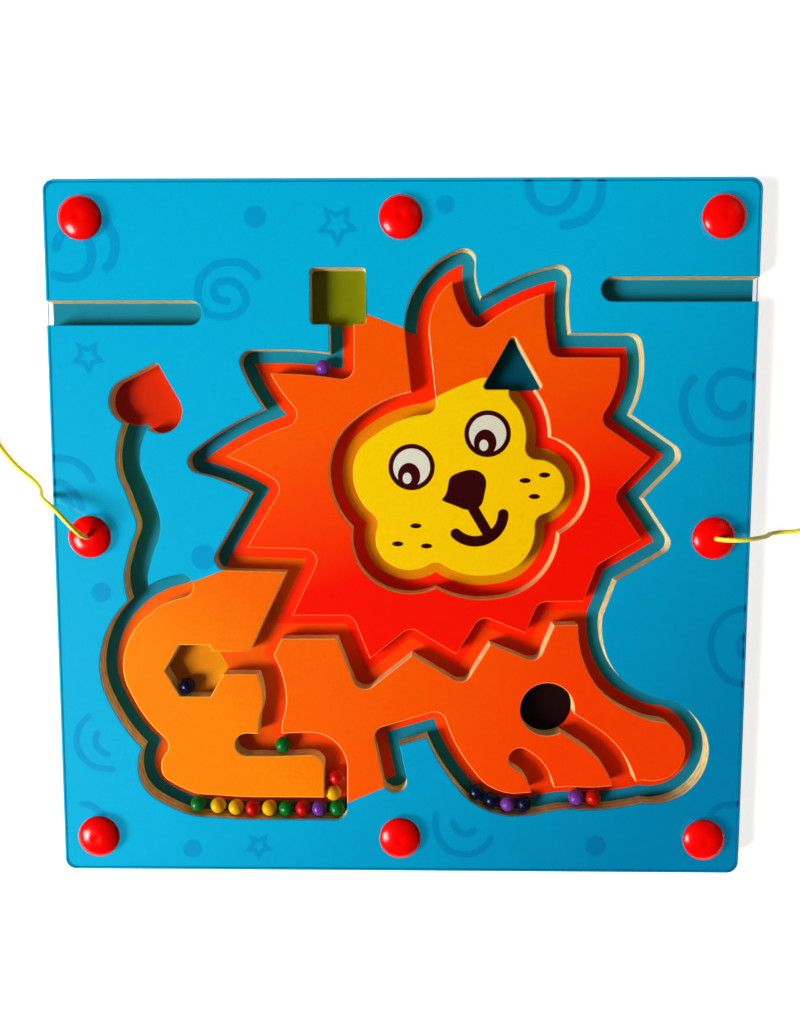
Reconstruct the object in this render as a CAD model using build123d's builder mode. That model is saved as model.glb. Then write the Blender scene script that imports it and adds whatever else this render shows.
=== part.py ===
from build123d import *
import os
from math import pi, radians, tan

# A wooden maze board with a lion's picture. Small steel balls roll in routed channels under a
# clear cover, and are drawn along by magnet pens that hang on cords.
# Lengths are in millimetres. The board lies flat: +Z is up, out of the picture, and +Y is the
# picture's top. The origin is the middle of the board, on the surface that it lies on.

# Board and layers
board_side = 300
corner_radius = 5
foot_height = 2
base_thickness = 2.8
print_thickness = 0.2
panel_thickness = 7.2
cover_gap = 0.1
cover_thickness = 1.6
cover_inset = 1.5
channel_width = 10.2
overrun = 1

# Ball pockets
square_side = 23.4
square_corner = 1.8
hexagon_radius = 13.3
circle_radius = 11.8
heart_left_radius = 10
heart_right_radius = 9.3
heart_tip_radius = 1.5
triangle_corner = 1.5

# Pen slots, open at the board's sides
slot_length = 66
slot_width = 10.2

# Two-part rivets: a domed cap with a pin, and a socket whose flange is a foot
rivet_inset = 16.5
cap_diameter = 18.2
cap_height = 4.2
cap_rim = 1.1
cap_dimple_radius = 3
cap_dimple_depth = 0.25
pin_diameter = 4
pin_clearance = 0.1
socket_wall = 0.9
socket_clearance = 0.1
socket_floor = 0.6
flange_diameter = 15
flange_edge = 0.6
knot_room = 4.4

# Balls
ball_diameter = 6.8
ball_lift = 0.2

# Cords and pens
cord_diameter = 2
cord_clearance = 0.1
cord_floor_gap = 0.05
cord_start_height = 0.5
bend_share = 0.45
knot_diameter = 3.8
pen_diameter = 7
pen_length = 95
pen_nose_length = 14
pen_nose_diameter = 5.2
pen_end_round = 1.6
pen_well_depth = 4
magnet_stand_out = 0.8
pen_groove_width = 1.4
pen_groove_depth = 0.4
pen_groove_pitch = 3.2
pen_groove_count = 4
pen_groove_start = 26
magnet_diameter = 3.8
magnet_length = 8

# Levels, from the surface up
base_z = foot_height
floor_print_z = base_z + base_thickness
floor_z = floor_print_z + print_thickness
face_print_z = floor_z + panel_thickness
cover_z = face_print_z + print_thickness + cover_gap
top_z = cover_z + cover_thickness

cutter_radius = channel_width / 2
half_side = board_side / 2
rivet_pitch = half_side - rivet_inset
cord_radius = cord_diameter / 2
ball_radius = ball_diameter / 2
pen_radius = pen_diameter / 2
socket_bore = pin_diameter / 2 + pin_clearance
socket_radius = socket_bore + socket_wall
rivet_hole = socket_radius + socket_clearance

# Places in the picture are shares of the board's side, from its middle.
# Corners and ends of the channels that more than one of them shares
stem_foot_share = (-0.0833, 0.2410)
elbow_share = (-0.1383, -0.0353)
fork_share = (-0.1837, -0.1320)
gate_share = (-0.2037, -0.1747)
shoulder_share = (0.2750, -0.1100)
ear_foot_share = (0.0227, 0.2883)
ring_start_share = (0.0340, 0.1917)
ring_end_share = (0.1700, 0.2060)
toe_turn_share = (0.3567, -0.3753)
crotch_share = (0.0500, -0.2743)
finger_end_share = (-0.0073, -0.3620)
rump_start_share = (-0.3167, -0.0723)
heel_share = (-0.3580, -0.3100)
sole_end_share = (-0.0953, -0.4040)
knee_share = (-0.1900, -0.3080)
mane_low_tip_share = (-0.2507, -0.0320)

# Channel centre lines between them
mane_left_curve_shares = [
    (stem_foot_share, (-0.1470, 0.2480), (-0.2100, 0.2477)),
    ((-0.2100, 0.2477), (-0.1910, 0.2090), (-0.1650, 0.1743)),
    ((-0.1650, 0.1743), (-0.2290, 0.1467), (-0.2867, 0.1077)),
    ((-0.2867, 0.1077), (-0.2370, 0.0923), (-0.1910, 0.0683)),
]
mane_left_shares = [(-0.1910, 0.0683), mane_low_tip_share, elbow_share]
chin_shares = [
    fork_share, (-0.0810, -0.1317), (-0.0517, -0.2063), (0.0157, -0.1520), (0.0867, -0.1947),
    (0.1233, -0.1353), (0.1900, -0.1623), (0.2107, -0.1110), shoulder_share,
]
ear_curve_shares = [
    (ear_foot_share, (0.0387, 0.3487), (0.0880, 0.3873)),
    ((0.0880, 0.3873), (0.0907, 0.3483), (0.1080, 0.3127)),
    ((0.1080, 0.3127), (0.1610, 0.3453), (0.2200, 0.3647)),
    ((0.2200, 0.3647), (0.2180, 0.3200), (0.2247, 0.2710)),
]
mane_right_tip_shares = [(0.2247, 0.2710), (0.3217, 0.2707)]
mane_right_curve_share = (0.3237, 0.2227)
mane_right_shares = [
    (0.3030, 0.1697), (0.3800, 0.1167), (0.3243, 0.0577), (0.3690, -0.0080), (0.2967, -0.0513),
    shoulder_share,
]
foreleg_shares = [
    shoulder_share, (0.2790, -0.1667), (0.3077, -0.2173), (0.3533, -0.2460), (0.4050, -0.2633),
    (0.4333, -0.3117), (0.4143, -0.3583), toe_turn_share,
]
sole_shares = [
    toe_turn_share, (0.2933, -0.3860), (0.2333, -0.3867), (0.1900, -0.3950), (0.1567, -0.3960),
    (0.1200, -0.3820), (0.0853, -0.3443), crotch_share,
]
finger_shares = [crotch_share, (-0.0210, -0.2960), finger_end_share]
tail_shares = [
    (-0.3727, 0.1667), (-0.3890, 0.1033), (-0.3740, 0.0583), (-0.3623, 0.0167), (-0.3747, -0.0267),
    (-0.3823, -0.0600), (-0.3733, -0.1000),
]
rump_shares = [
    rump_start_share, (-0.3753, -0.0993), (-0.4133, -0.1500), (-0.4213, -0.2000), (-0.4013, -0.2550),
    heel_share,
]
heel_shares = [
    heel_share, (-0.3693, -0.3467), (-0.3167, -0.3943), (-0.2600, -0.4020), (-0.2000, -0.4040),
]
shin_shares = [gate_share, (-0.1877, -0.2117), (-0.1840, -0.2433), (-0.1907, -0.2767), knee_share]
inner_turn_shares = [(-0.0953, -0.3467), (-0.1053, -0.3173), (-0.1333, -0.3057)]
knee_end_share = (-0.2260, -0.3077)
hexagon_gate_shares = [(-0.2000, -0.1850), (-0.2800, -0.1850)]
circle_exit_shares = [
    (0.2267, -0.2633), (0.2633, -0.2853), (0.2900, -0.3040), (0.3153, -0.3333), (0.3317, -0.3783),
]
toe_shares = [(0.1757, -0.3277), (0.1933, -0.3410), (0.2057, -0.3620), (0.2107, -0.3900)]
stem_top_share = (-0.0833, 0.3333)
ring_shares = [
    [ring_start_share, (-0.0283, 0.1717), (-0.0800, 0.1200), (-0.0773, 0.0550), (-0.0493, 0.0183)],
    [(-0.0493, 0.0183), (-0.0433, -0.0350), (-0.0017, -0.0633), (0.0517, -0.0543)],
    [(0.0517, -0.0543), (0.1133, -0.0733), (0.1850, -0.0500), (0.2097, 0.0173)],
    [(0.2097, 0.0173), (0.2507, 0.0800), (0.1943, 0.1280)],
    [(0.1943, 0.1280), (0.1920, 0.1683), ring_end_share],
]

square_share = (-0.0880, 0.3393)

# Printed edges where the picture changes colour and no channel runs
mane_top_shares = [
    stem_foot_share, (-0.0833, 0.3000), square_share, (-0.0487, 0.3143), (0.0057, 0.2943),
    ear_foot_share,
]
brow_shares = [
    ring_start_share, (0.0517, 0.2000), (0.0833, 0.2143), (0.1200, 0.2260), (0.1500, 0.2217),
    ring_end_share,
]
rump_top_shares = [mane_low_tip_share, (-0.2567, -0.0493), (-0.3000, -0.0660), rump_start_share]
belly_shares = [finger_end_share, (-0.0233, -0.3710), (-0.0733, -0.3933), sole_end_share]

# Pockets and slots
hexagon_share = (-0.3000, -0.1973)
circle_share = (0.2140, -0.2527)
heart_left_share = (-0.3810, 0.1927)
heart_right_share = (-0.3413, 0.1787)
heart_outline_shares = [
    (-0.3810, 0.1927), (-0.3973, 0.2217), (-0.3447, 0.2480), (-0.3143, 0.1940), (-0.3413, 0.1787),
]
triangle_shares = [(0.1577, 0.2873), (0.2027, 0.2093), (0.1140, 0.2093)]
left_slot_share = 0.3163
right_slot_share = 0.3483

# The face's printed marks
eye_radius = 9.9
eye_white_radius = 7.9
pupil_radii = (4.8, 5.6)
glint_radii = (1.9, 2.4)
left_eye_share = (0.0157, 0.1000)
left_pupil_share = (0.0120, 0.0873)
left_glint_share = (0.0093, 0.0840)
right_eye_share = (0.1233, 0.1473)
right_pupil_share = (0.1200, 0.1347)
right_glint_share = (0.1180, 0.1310)
nose_shares = [
    (0.0603, 0.0557), (0.0673, 0.0717), (0.0707, 0.0847), (0.0857, 0.0933), (0.1020, 0.0963),
    (0.1167, 0.0903), (0.1220, 0.0783), (0.1200, 0.0633), (0.1133, 0.0440), (0.0933, 0.0393),
    (0.0737, 0.0467),
]
mouth_width = 4.6
philtrum_shares = [(0.1043, 0.0400), (0.1233, 0.0083)]
mouth_shares = [(0.0793, 0.0047), (0.1150, -0.0053), (0.1467, 0.0327)]
whisker_radii = (2.4, 1.1)
whisker_shares = [
    (0.0220, 0.0160), (-0.0040, -0.0100), (0.0373, -0.0130), (0.1773, 0.0810), (0.2047, 0.0890),
    (0.1907, 0.0583),
]

# Balls, and where each lies
ball_shares = {
    "green_1": (-0.3020, -0.4023), "yellow_1": (-0.2720, -0.4050), "yellow_2": (-0.2453, -0.4077),
    "red_1": (-0.2200, -0.4087), "yellow_3": (-0.1953, -0.4087), "green_2": (-0.1700, -0.4087),
    "red_2": (-0.1453, -0.4087), "purple_1": (-0.1207, -0.4087), "green_3": (-0.0940, -0.4080),
    "yellow_4": (-0.0997, -0.3847), "red_3": (-0.0947, -0.3603), "green_4": (-0.1740, -0.3113),
    "purple_2": (-0.1107, 0.2413), "blue_2": (0.1130, -0.3820), "blue_3": (0.1357, -0.3940),
    "purple_3": (0.1597, -0.4000), "blue_4": (0.1840, -0.3997), "purple_4": (0.2607, -0.3897),
    "red_4": (0.2860, -0.3900),
}


# The ball in the hexagon lies in its lower left corner, in shares of the hexagon's radius
hexagon_ball_share = (-0.331, -0.571)


def place(share):
    """The point at a pair of shares of the board's side."""
    return (share[0] * board_side, share[1] * board_side)


def places(shares):
    """The points of a list of such pairs."""
    return [place(share) for share in shares]


def smooth_run(points):
    """Arcs that pass smoothly through the points, two from each to the next."""
    spots = [Vector(*point) for point in points]
    chords = [b - a for a, b in zip(spots, spots[1:])]
    headings = [
        (first / first.length * after.length + after / after.length * first.length).normalized()
        for first, after in zip(chords, chords[1:])
    ]
    for index, near, chord in ((0, 0, chords[0]), (len(headings) + 1, -1, chords[-1])):
        along = chord.normalized()
        headings.insert(index, along * (2 * along.dot(headings[near])) - headings[near])
    for a, b, chord, leave, arrive in zip(spots, spots[1:], chords, headings, headings[1:]):
        lean = 2 * (1 - leave.dot(arrive))
        across = chord.dot(leave + arrive)
        reach = ((across**2 + lean * chord.length**2) ** 0.5 - across) / lean
        joint = (a + b + (leave - arrive) * reach) / 2
        first_arc = TangentArc(a, joint, tangent=leave)
        TangentArc(joint, b, tangent=first_arc % 1)


# Centre lines that the channel cutter follows
with BuildLine() as stem_line:
    Line(place(stem_top_share), place(stem_foot_share))
with BuildLine() as mane_left_line:
    for curve_share in mane_left_curve_shares:
        ThreePointArc(*places(curve_share))
    Polyline(*places(mane_left_shares))
with BuildLine() as diagonal_upper_line:
    Line(place(elbow_share), place(fork_share))
with BuildLine() as diagonal_lower_line:
    Line(place(fork_share), place(gate_share))
with BuildLine() as chin_line:
    Polyline(*places(chin_shares))
with BuildLine() as brow_line:
    Line(place(ring_start_share), place(ear_foot_share))
with BuildLine() as ear_line:
    for curve_share in ear_curve_shares:
        ThreePointArc(*places(curve_share))
    Polyline(*places(mane_right_tip_shares))
    ThreePointArc(
        place(mane_right_tip_shares[-1]), place(mane_right_curve_share), place(mane_right_shares[0])
    )
    Polyline(*places(mane_right_shares))
with BuildLine() as foreleg_line:
    smooth_run(places(foreleg_shares))
with BuildLine() as sole_line:
    smooth_run(places(sole_shares))
with BuildLine() as finger_line:
    Polyline(*places(finger_shares))
with BuildLine() as tail_line:
    smooth_run(places(tail_shares))
with BuildLine() as rump_line:
    smooth_run(places(rump_shares))
with BuildLine() as heel_line:
    smooth_run(places(heel_shares))
    Line(place(heel_shares[-1]), place(sole_end_share))
with BuildLine() as inner_line:
    Line(place(sole_end_share), place(inner_turn_shares[0]))
    ThreePointArc(*places(inner_turn_shares))
    Line(place(inner_turn_shares[-1]), place(knee_share))
with BuildLine() as knee_line:
    Line(place(knee_share), place(knee_end_share))
with BuildLine() as shin_line:
    smooth_run(places(shin_shares))
with BuildLine() as hexagon_gate_line:
    Line(*places(hexagon_gate_shares))
with BuildLine() as circle_exit_line:
    smooth_run(places(circle_exit_shares))
with BuildLine() as toe_line:
    smooth_run(places(toe_shares))
ring_lines = []
for stretch_shares in ring_shares:
    with BuildLine() as ring_line:
        smooth_run(places(stretch_shares))
    ring_lines.append(ring_line)

channel_lines = [
    stem_line, mane_left_line, diagonal_upper_line, diagonal_lower_line, chin_line, brow_line,
    ear_line, foreleg_line, sole_line, finger_line, tail_line, rump_line, heel_line, inner_line,
    knee_line, shin_line, hexagon_gate_line, circle_exit_line, toe_line, *ring_lines,
]

# Printed edges
with BuildLine() as mane_top_line:
    Polyline(*places(mane_top_shares))
with BuildLine() as face_top_line:
    smooth_run(places(brow_shares))
with BuildLine() as rump_top_line:
    Polyline(*places(rump_top_shares))
with BuildLine() as belly_line:
    Polyline(*places(belly_shares))
with BuildLine() as mane_gap_line:
    Line(place(mane_low_tip_share), place(elbow_share))


def routed(lines):
    """What a round cutter clears as its centre follows the lines."""
    with BuildSketch() as cleared:
        for line in lines:
            make_face(line.line.wires()[0].offset_2d(cutter_radius, kind=Kind.ARC, side=Side.BOTH))
    return cleared


# What is cut out of the panel
channels = routed(channel_lines)

with BuildSketch() as heart_pocket:
    with Locations(place(heart_left_share)):
        Circle(heart_left_radius)
    with Locations(place(heart_right_share)):
        Circle(heart_right_radius)
    with BuildLine():
        Polyline(*places(heart_outline_shares), close=True)
    make_face()
    fillet(heart_pocket.vertices().sort_by(Axis.Y)[-1], heart_tip_radius)
with BuildSketch() as square_pocket:
    with Locations(place(square_share)):
        RectangleRounded(square_side, square_side, square_corner)
with BuildSketch() as hexagon_pocket:
    with Locations(place(hexagon_share)):
        RegularPolygon(hexagon_radius, 6)
with BuildSketch() as circle_pocket:
    with Locations(place(circle_share)):
        Circle(circle_radius)
with BuildSketch() as triangle_pocket:
    with BuildLine():
        Polyline(*places(triangle_shares), close=True)
    make_face()
    fillet(triangle_pocket.vertices(), triangle_corner)
pockets = {
    "heart": heart_pocket,
    "square": square_pocket,
    "hexagon": hexagon_pocket,
    "circle": circle_pocket,
    "triangle": triangle_pocket,
}

with BuildSketch() as pen_slots:
    for side, slot_share in ((-1, left_slot_share), (1, right_slot_share)):
        round_x = side * (half_side - slot_length + slot_width / 2)
        slot_y = slot_share * board_side
        outer_x = side * (half_side + overrun)
        with Locations((round_x, slot_y)):
            Circle(slot_width / 2)
        with Locations(((round_x + outer_x) / 2, slot_y)):
            Rectangle(abs(outer_x - round_x), slot_width)

# Rivets stand at the corners and at the middle of each side
rivet_places = {
    f"{row}_{column}": (x * rivet_pitch, y * rivet_pitch)
    for row, y in (("top", 1), ("middle", 0), ("bottom", -1))
    for column, x in (("left", -1), ("centre", 0), ("right", 1))
    if (x, y) != (0, 0)
}
with BuildSketch() as rivet_holes:
    with Locations(*rivet_places.values()):
        Circle(rivet_hole)
with BuildSketch() as panel_cuts:
    for cut in (channels, pen_slots, *pockets.values()):
        add(cut.sketch)
with BuildSketch() as board_outline:
    RectangleRounded(board_side, board_side, corner_radius)


def bounded(*lines):
    """The face that a closed run of lines bounds."""
    with BuildSketch() as face:
        make_face([edge for line in lines for edge in line.line.edges()])
    return face


# Colour zones of the picture, whose edges run in the middle of the channels
face_zone = bounded(*ring_lines, face_top_line)
mane_outer = bounded(
    mane_top_line, ear_line, chin_line, diagonal_upper_line, mane_left_line
)
haunch_zone = bounded(
    rump_line, heel_line, inner_line, shin_line, diagonal_lower_line, diagonal_upper_line,
    mane_gap_line, rump_top_line,
)
body_zone = bounded(
    chin_line, foreleg_line, sole_line, finger_line, belly_line, inner_line, shin_line,
    diagonal_lower_line,
)
with BuildSketch() as mane_zone:
    add(mane_outer.sketch)
    add(face_zone.sketch, mode=Mode.SUBTRACT)
with BuildSketch() as field_zone:
    add(board_outline.sketch)
    for zone in (mane_outer, face_zone, haunch_zone, body_zone):
        add(zone.sketch, mode=Mode.SUBTRACT)
zones = {
    "field": field_zone,
    "mane": mane_zone,
    "face": face_zone,
    "haunch": haunch_zone,
    "body": body_zone,
}

os.makedirs("parts", exist_ok=True)


def finish(part, label):
    """Label a finished piece and write it."""
    part.part.label = label
    export_step(part.part, f"parts/{label}.step")


# Base board
with BuildPart() as base_board:
    with BuildSketch(Plane.XY.offset(base_z)):
        add(board_outline.sketch_local)
        add(rivet_holes.sketch_local, mode=Mode.SUBTRACT)
    extrude(amount=base_thickness)
finish(base_board, "base_board")

# The print on the base board, a zone at a time, with each pocket in a colour of its own
for name, zone in zones.items():
    with BuildPart() as floor_print:
        with BuildSketch(Plane.XY.offset(floor_print_z)):
            add(zone.sketch_local)
            add(rivet_holes.sketch_local, mode=Mode.SUBTRACT)
            for pocket in pockets.values():
                add(pocket.sketch_local, mode=Mode.SUBTRACT)
        extrude(amount=print_thickness)
    finish(floor_print, f"floor_print_{name}")
for name, pocket in pockets.items():
    with BuildPart() as pocket_print:
        with BuildSketch(Plane.XY.offset(floor_print_z)):
            add(pocket.sketch_local)
        extrude(amount=print_thickness)
    finish(pocket_print, f"floor_print_{name}")

# The maze panel, cut right through
with BuildPart() as maze_panel:
    with BuildSketch(Plane.XY.offset(floor_z)):
        add(board_outline.sketch_local)
        add(panel_cuts.sketch_local, mode=Mode.SUBTRACT)
        add(rivet_holes.sketch_local, mode=Mode.SUBTRACT)
    extrude(amount=panel_thickness)
finish(maze_panel, "maze_panel")

# The face's marks: rings, pupils, nose, mouth and whiskers in one dark ink, and the eyes' whites
with BuildSketch() as eye_whites:
    with Locations(place(left_eye_share), place(right_eye_share)):
        Circle(eye_white_radius)
    with Locations(place(left_pupil_share), place(right_pupil_share)):
        Ellipse(*pupil_radii, mode=Mode.SUBTRACT)
    with Locations(place(left_glint_share), place(right_glint_share)):
        Ellipse(*glint_radii)
with BuildSketch() as face_marks:
    with Locations(place(left_eye_share), place(right_eye_share)):
        Circle(eye_radius)
    with BuildLine():
        Spline(*places(nose_shares), periodic=True)
    make_face()
    with BuildLine() as philtrum:
        Line(*places(philtrum_shares))
    make_face(philtrum.line.wires()[0].offset_2d(mouth_width / 2, kind=Kind.ARC, side=Side.BOTH))
    with BuildLine() as mouth:
        ThreePointArc(*places(mouth_shares))
    make_face(mouth.line.wires()[0].offset_2d(mouth_width / 2, kind=Kind.ARC, side=Side.BOTH))
    with Locations(*places(whisker_shares)):
        Ellipse(*whisker_radii)
    add(eye_whites.sketch, mode=Mode.SUBTRACT)

# The print on the panel
for name, zone in zones.items():
    with BuildPart() as face_print:
        with BuildSketch(Plane.XY.offset(face_print_z)):
            add(zone.sketch_local)
            add(panel_cuts.sketch_local, mode=Mode.SUBTRACT)
            add(rivet_holes.sketch_local, mode=Mode.SUBTRACT)
            if zone is face_zone:
                add(face_marks.sketch_local, mode=Mode.SUBTRACT)
                add(eye_whites.sketch_local, mode=Mode.SUBTRACT)
        extrude(amount=print_thickness)
    finish(face_print, f"panel_print_{name}")
for name, marks in (("face_marks", face_marks), ("eye_whites", eye_whites)):
    with BuildPart() as mark_print:
        with BuildSketch(Plane.XY.offset(face_print_z)):
            add(marks.sketch_local)
        extrude(amount=print_thickness)
    finish(mark_print, name)

# Clear cover
cover_side = board_side - 2 * cover_inset
with BuildPart() as clear_cover:
    with BuildSketch(Plane.XY.offset(cover_z)):
        RectangleRounded(cover_side, cover_side, corner_radius - cover_inset)
        add(rivet_holes.sketch_local, mode=Mode.SUBTRACT)
    extrude(amount=cover_thickness)
finish(clear_cover, "clear_cover")

# Rivet sockets, each with a flange that the board stands on
socket_top = top_z - socket_clearance
with BuildPart() as rivet_sockets:
    with BuildSketch():
        with Locations(*rivet_places.values()):
            Circle(flange_diameter / 2)
    extrude(amount=foot_height)
    fillet(rivet_sockets.faces().sort_by(Axis.Z)[0:len(rivet_places)].edges(), flange_edge)
    with BuildSketch(Plane.XY.offset(foot_height)):
        with Locations(*rivet_places.values()):
            Circle(socket_radius)
    extrude(amount=socket_top - foot_height)
    with BuildSketch(Plane.XY.offset(socket_floor)):
        with Locations(*rivet_places.values()):
            Circle(socket_bore)
    extrude(amount=socket_top - socket_floor, mode=Mode.SUBTRACT)
finish(rivet_sockets, "rivet_sockets")

# Rivet caps. The two beside the cords are bored, and their pins end above the knot
cap_radius = cap_diameter / 2
cap_top = top_z + cap_height
cord_bore = cord_radius + cord_clearance
pin_end = socket_floor + pin_clearance
knot_z = socket_floor + pin_clearance + knot_diameter / 2
for name, (rivet_x, rivet_y) in rivet_places.items():
    bored = name in ("middle_left", "middle_right")
    low_end = pin_end + knot_room if bored else pin_end
    with BuildPart() as rivet_cap:
        with BuildSketch(Plane((rivet_x, rivet_y, 0), x_dir=(1, 0, 0), z_dir=(0, -1, 0))):
            with BuildLine():
                dome = ThreePointArc(
                    (cap_radius, top_z + cap_rim),
                    ((cap_radius + cap_dimple_radius) / 2, top_z + (cap_rim + 2 * cap_height) / 3),
                    (cap_dimple_radius, cap_top),
                )
                dimple = TangentArc((0, cap_top - cap_dimple_depth), dome @ 1, tangent=(1, 0))
                Polyline(
                    dimple @ 0, (0, low_end), (pin_diameter / 2, low_end),
                    (pin_diameter / 2, top_z), (cap_radius, top_z), dome @ 0,
                )
            make_face()
        revolve(axis=Axis((rivet_x, rivet_y, 0), (0, 0, 1)))
        if bored:
            with BuildSketch(Plane((rivet_x, rivet_y, low_end))):
                Circle(cord_bore)
            extrude(amount=cap_top - low_end, mode=Mode.SUBTRACT)
    finish(rivet_cap, f"rivet_cap_{name}")

# Balls
ball_z = floor_z + ball_lift + ball_radius
hexagon_x, hexagon_y = place(hexagon_share)
ball_places = {name: place(share) for name, share in ball_shares.items()}
ball_places["blue_1"] = (
    hexagon_x + hexagon_ball_share[0] * hexagon_radius,
    hexagon_y + hexagon_ball_share[1] * hexagon_radius,
)
for name, (ball_x, ball_y) in ball_places.items():
    with BuildPart() as ball:
        with Locations((ball_x, ball_y, ball_z)):
            Sphere(ball_radius)
    finish(ball, f"ball_{name}")

# Cords. Each starts in its cap's bore, arches down over the board's edge and runs on the surface
# to a coil, whose end goes into a pen. The points of a route are counted from its rivet
cord_z = cord_radius + cord_floor_gap
cord_start_z = top_z + cord_start_height
drape_points = {
    "left": [
        (0, 0, cord_start_z), (0, 0, 20.8), (-3.5, 2.8, 24.8), (-8.5, 6.8, 24),
        (-13.3, 10.6, 20.9), (-17.9, 14.2, 17.4), (-22.1, 17.5, 11.6), (-24.7, 19.6, 4.9),
        (-29, 23, cord_z), (-37.6, 29.9, cord_z), (-45, 39.3, cord_z), (-49.6, 49.3, cord_z),
        (-51.7, 59.1, cord_z), (-51.7, 67, cord_z),
    ],
    "right": [
        (0, 0, cord_start_z), (0, 0, 20.8), (4.5, 0.1, 24.8), (10.6, 0.3, 24),
        (16, 0.5, 20.4), (20.4, 0.6, 16.6), (24.6, 0.7, 11.2), (28, 0.8, 4.9),
        (33.5, 1, cord_z), (42, 1.3, cord_z), (50.5, 4.3, cord_z), (57.7, 9.7, cord_z),
        (62.9, 17.1, cord_z), (65.5, 25.2, cord_z), (65.5, 33.2, cord_z),
    ],
}
coil_radius = 12.5
coil_step = 2.5
coil_lead = cord_diameter
coil_run_out = 9
gap_samples = 1200
pen_axis_z = pen_radius


def length_of(run):
    """The length of a finished line."""
    return sum(edge.length for edge in run.line.edges())


def corner_radii(points):
    """Radii of the arcs at a route's corners, as large as its runs allow."""
    runs = [Vector(*b) - Vector(*a) for a, b in zip(points, points[1:])]
    return [
        bend_share * min(run.length, after.length) / tan(radians(run.get_angle(after)) / 2)
        for run, after in zip(runs, runs[1:])
    ]


for name, offsets in drape_points.items():
    side = -1 if name == "left" else 1
    points = [(side * rivet_pitch + x, y, z) for x, y, z in offsets]
    radii = corner_radii(points)
    print(f"cord_{name} radii", [round(radius, 1) for radius in radii])
    with BuildPart() as cord:
        with BuildLine() as route:
            FilletPolyline(*points, radius=radii)
        with BuildSketch(Plane(points[0], z_dir=Vector(*points[1]) - Vector(*points[0]))):
            Circle(cord_radius)
        sweep()
    print(
        f"cord_{name} length", round(length_of(route), 1), "volume", round(cord.part.volume, 1),
        "section times length", round(pi * cord_radius**2 * length_of(route), 1),
    )
    finish(cord, f"cord_{name}")

    # The coil: half turns that spiral in, climb one layer and spiral out again
    start = Vector(*points[-1])
    middle = start + Vector(side * coil_radius, coil_lead, 0)
    crossings = [
        coil_radius, -coil_radius, coil_radius - coil_step, coil_step - coil_radius, coil_radius,
        -coil_radius, coil_radius + coil_step,
    ]
    heights = [cord_z] * 3 + [pen_axis_z] * 4
    ends = [
        Vector(middle.X - side * x, middle.Y, z) for x, z in zip(crossings, heights)
    ]
    run_out = ends[-1] + Vector(0, coil_run_out + pen_well_depth, 0)
    with BuildPart() as coil:
        with BuildLine() as windings:
            Line(start, ends[0])
            for index, (first, last) in enumerate(zip(ends, ends[1:])):
                swell = (last - first).length / 2 * (1 if index % 2 == 0 else -1)
                ThreePointArc(first, (first + last) / 2 + Vector(0, swell, 0), last)
            Line(ends[-1], run_out)
        with BuildSketch(Plane(start, z_dir=(0, 1, 0))):
            Circle(cord_radius)
        sweep()
    track = windings.line.wires()[0]
    spots = [track @ (index / gap_samples) for index in range(gap_samples + 1)]
    apart = int(gap_samples * pi * cord_diameter / track.length)
    least = min((a - b).length for i, a in enumerate(spots) for b in spots[i + apart :])
    print(
        f"cord_{name}_coil length", round(track.length, 1), "volume",
        round(coil.part.volume, 1), "section times length",
        round(pi * cord_radius**2 * track.length, 1), "least gap to itself",
        round(least - cord_diameter, 2),
    )
    finish(coil, f"cord_{name}_coil")

    # The knotted end that holds the cord in its rivet
    with BuildPart() as cord_knot:
        with Locations((points[0][0], points[0][1], knot_z)):
            Sphere(knot_diameter / 2)
        with BuildSketch(Plane((points[0][0], points[0][1], knot_z))):
            Circle(cord_radius)
        extrude(amount=cord_start_z - knot_z)
    finish(cord_knot, f"cord_{name}_knot")

    # The pen lies beside the board, its magnet in the nose and its cord in the other end
    pen_end = ends[-1] + Vector(0, coil_run_out, 0)
    pen_axis = Axis(pen_end, (0, 1, 0))
    magnet_foot = pen_length - magnet_length + magnet_stand_out
    with BuildPart() as pen:
        with BuildSketch(Plane(pen_end)) as pen_half:
            with BuildLine():
                grooves = []
                for index in range(pen_groove_count):
                    groove_y = pen_length - pen_nose_length - pen_groove_start + index * pen_groove_pitch
                    grooves += [
                        (pen_radius, groove_y),
                        (pen_radius - pen_groove_depth, groove_y),
                        (pen_radius - pen_groove_depth, groove_y + pen_groove_width),
                        (pen_radius, groove_y + pen_groove_width),
                    ]
                Polyline(
                    (cord_bore, pen_well_depth), (cord_bore, 0), (pen_radius - pen_end_round, 0)
                )
                RadiusArc(
                    (pen_radius - pen_end_round, 0), (pen_radius, pen_end_round), -pen_end_round
                )
                Polyline(
                    (pen_radius, pen_end_round), *grooves,
                    (pen_radius, pen_length - pen_nose_length),
                    (pen_nose_diameter / 2, pen_length),
                    (magnet_diameter / 2, pen_length), (magnet_diameter / 2, magnet_foot),
                    (0, magnet_foot), (0, pen_well_depth), (cord_bore, pen_well_depth),
                )
            make_face()
        revolve(axis=pen_axis)
    finish(pen, f"pen_{name}")
    with BuildPart() as magnet:
        with BuildSketch(Plane(pen_end + Vector(0, magnet_foot, 0), z_dir=(0, 1, 0))):
            Circle(magnet_diameter / 2)
        extrude(amount=magnet_length)
        chamfer(magnet.edges().group_by(Axis.Y)[-1], magnet_stand_out / 2)
    finish(magnet, f"pen_{name}_magnet")
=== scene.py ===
from math import radians

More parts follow.
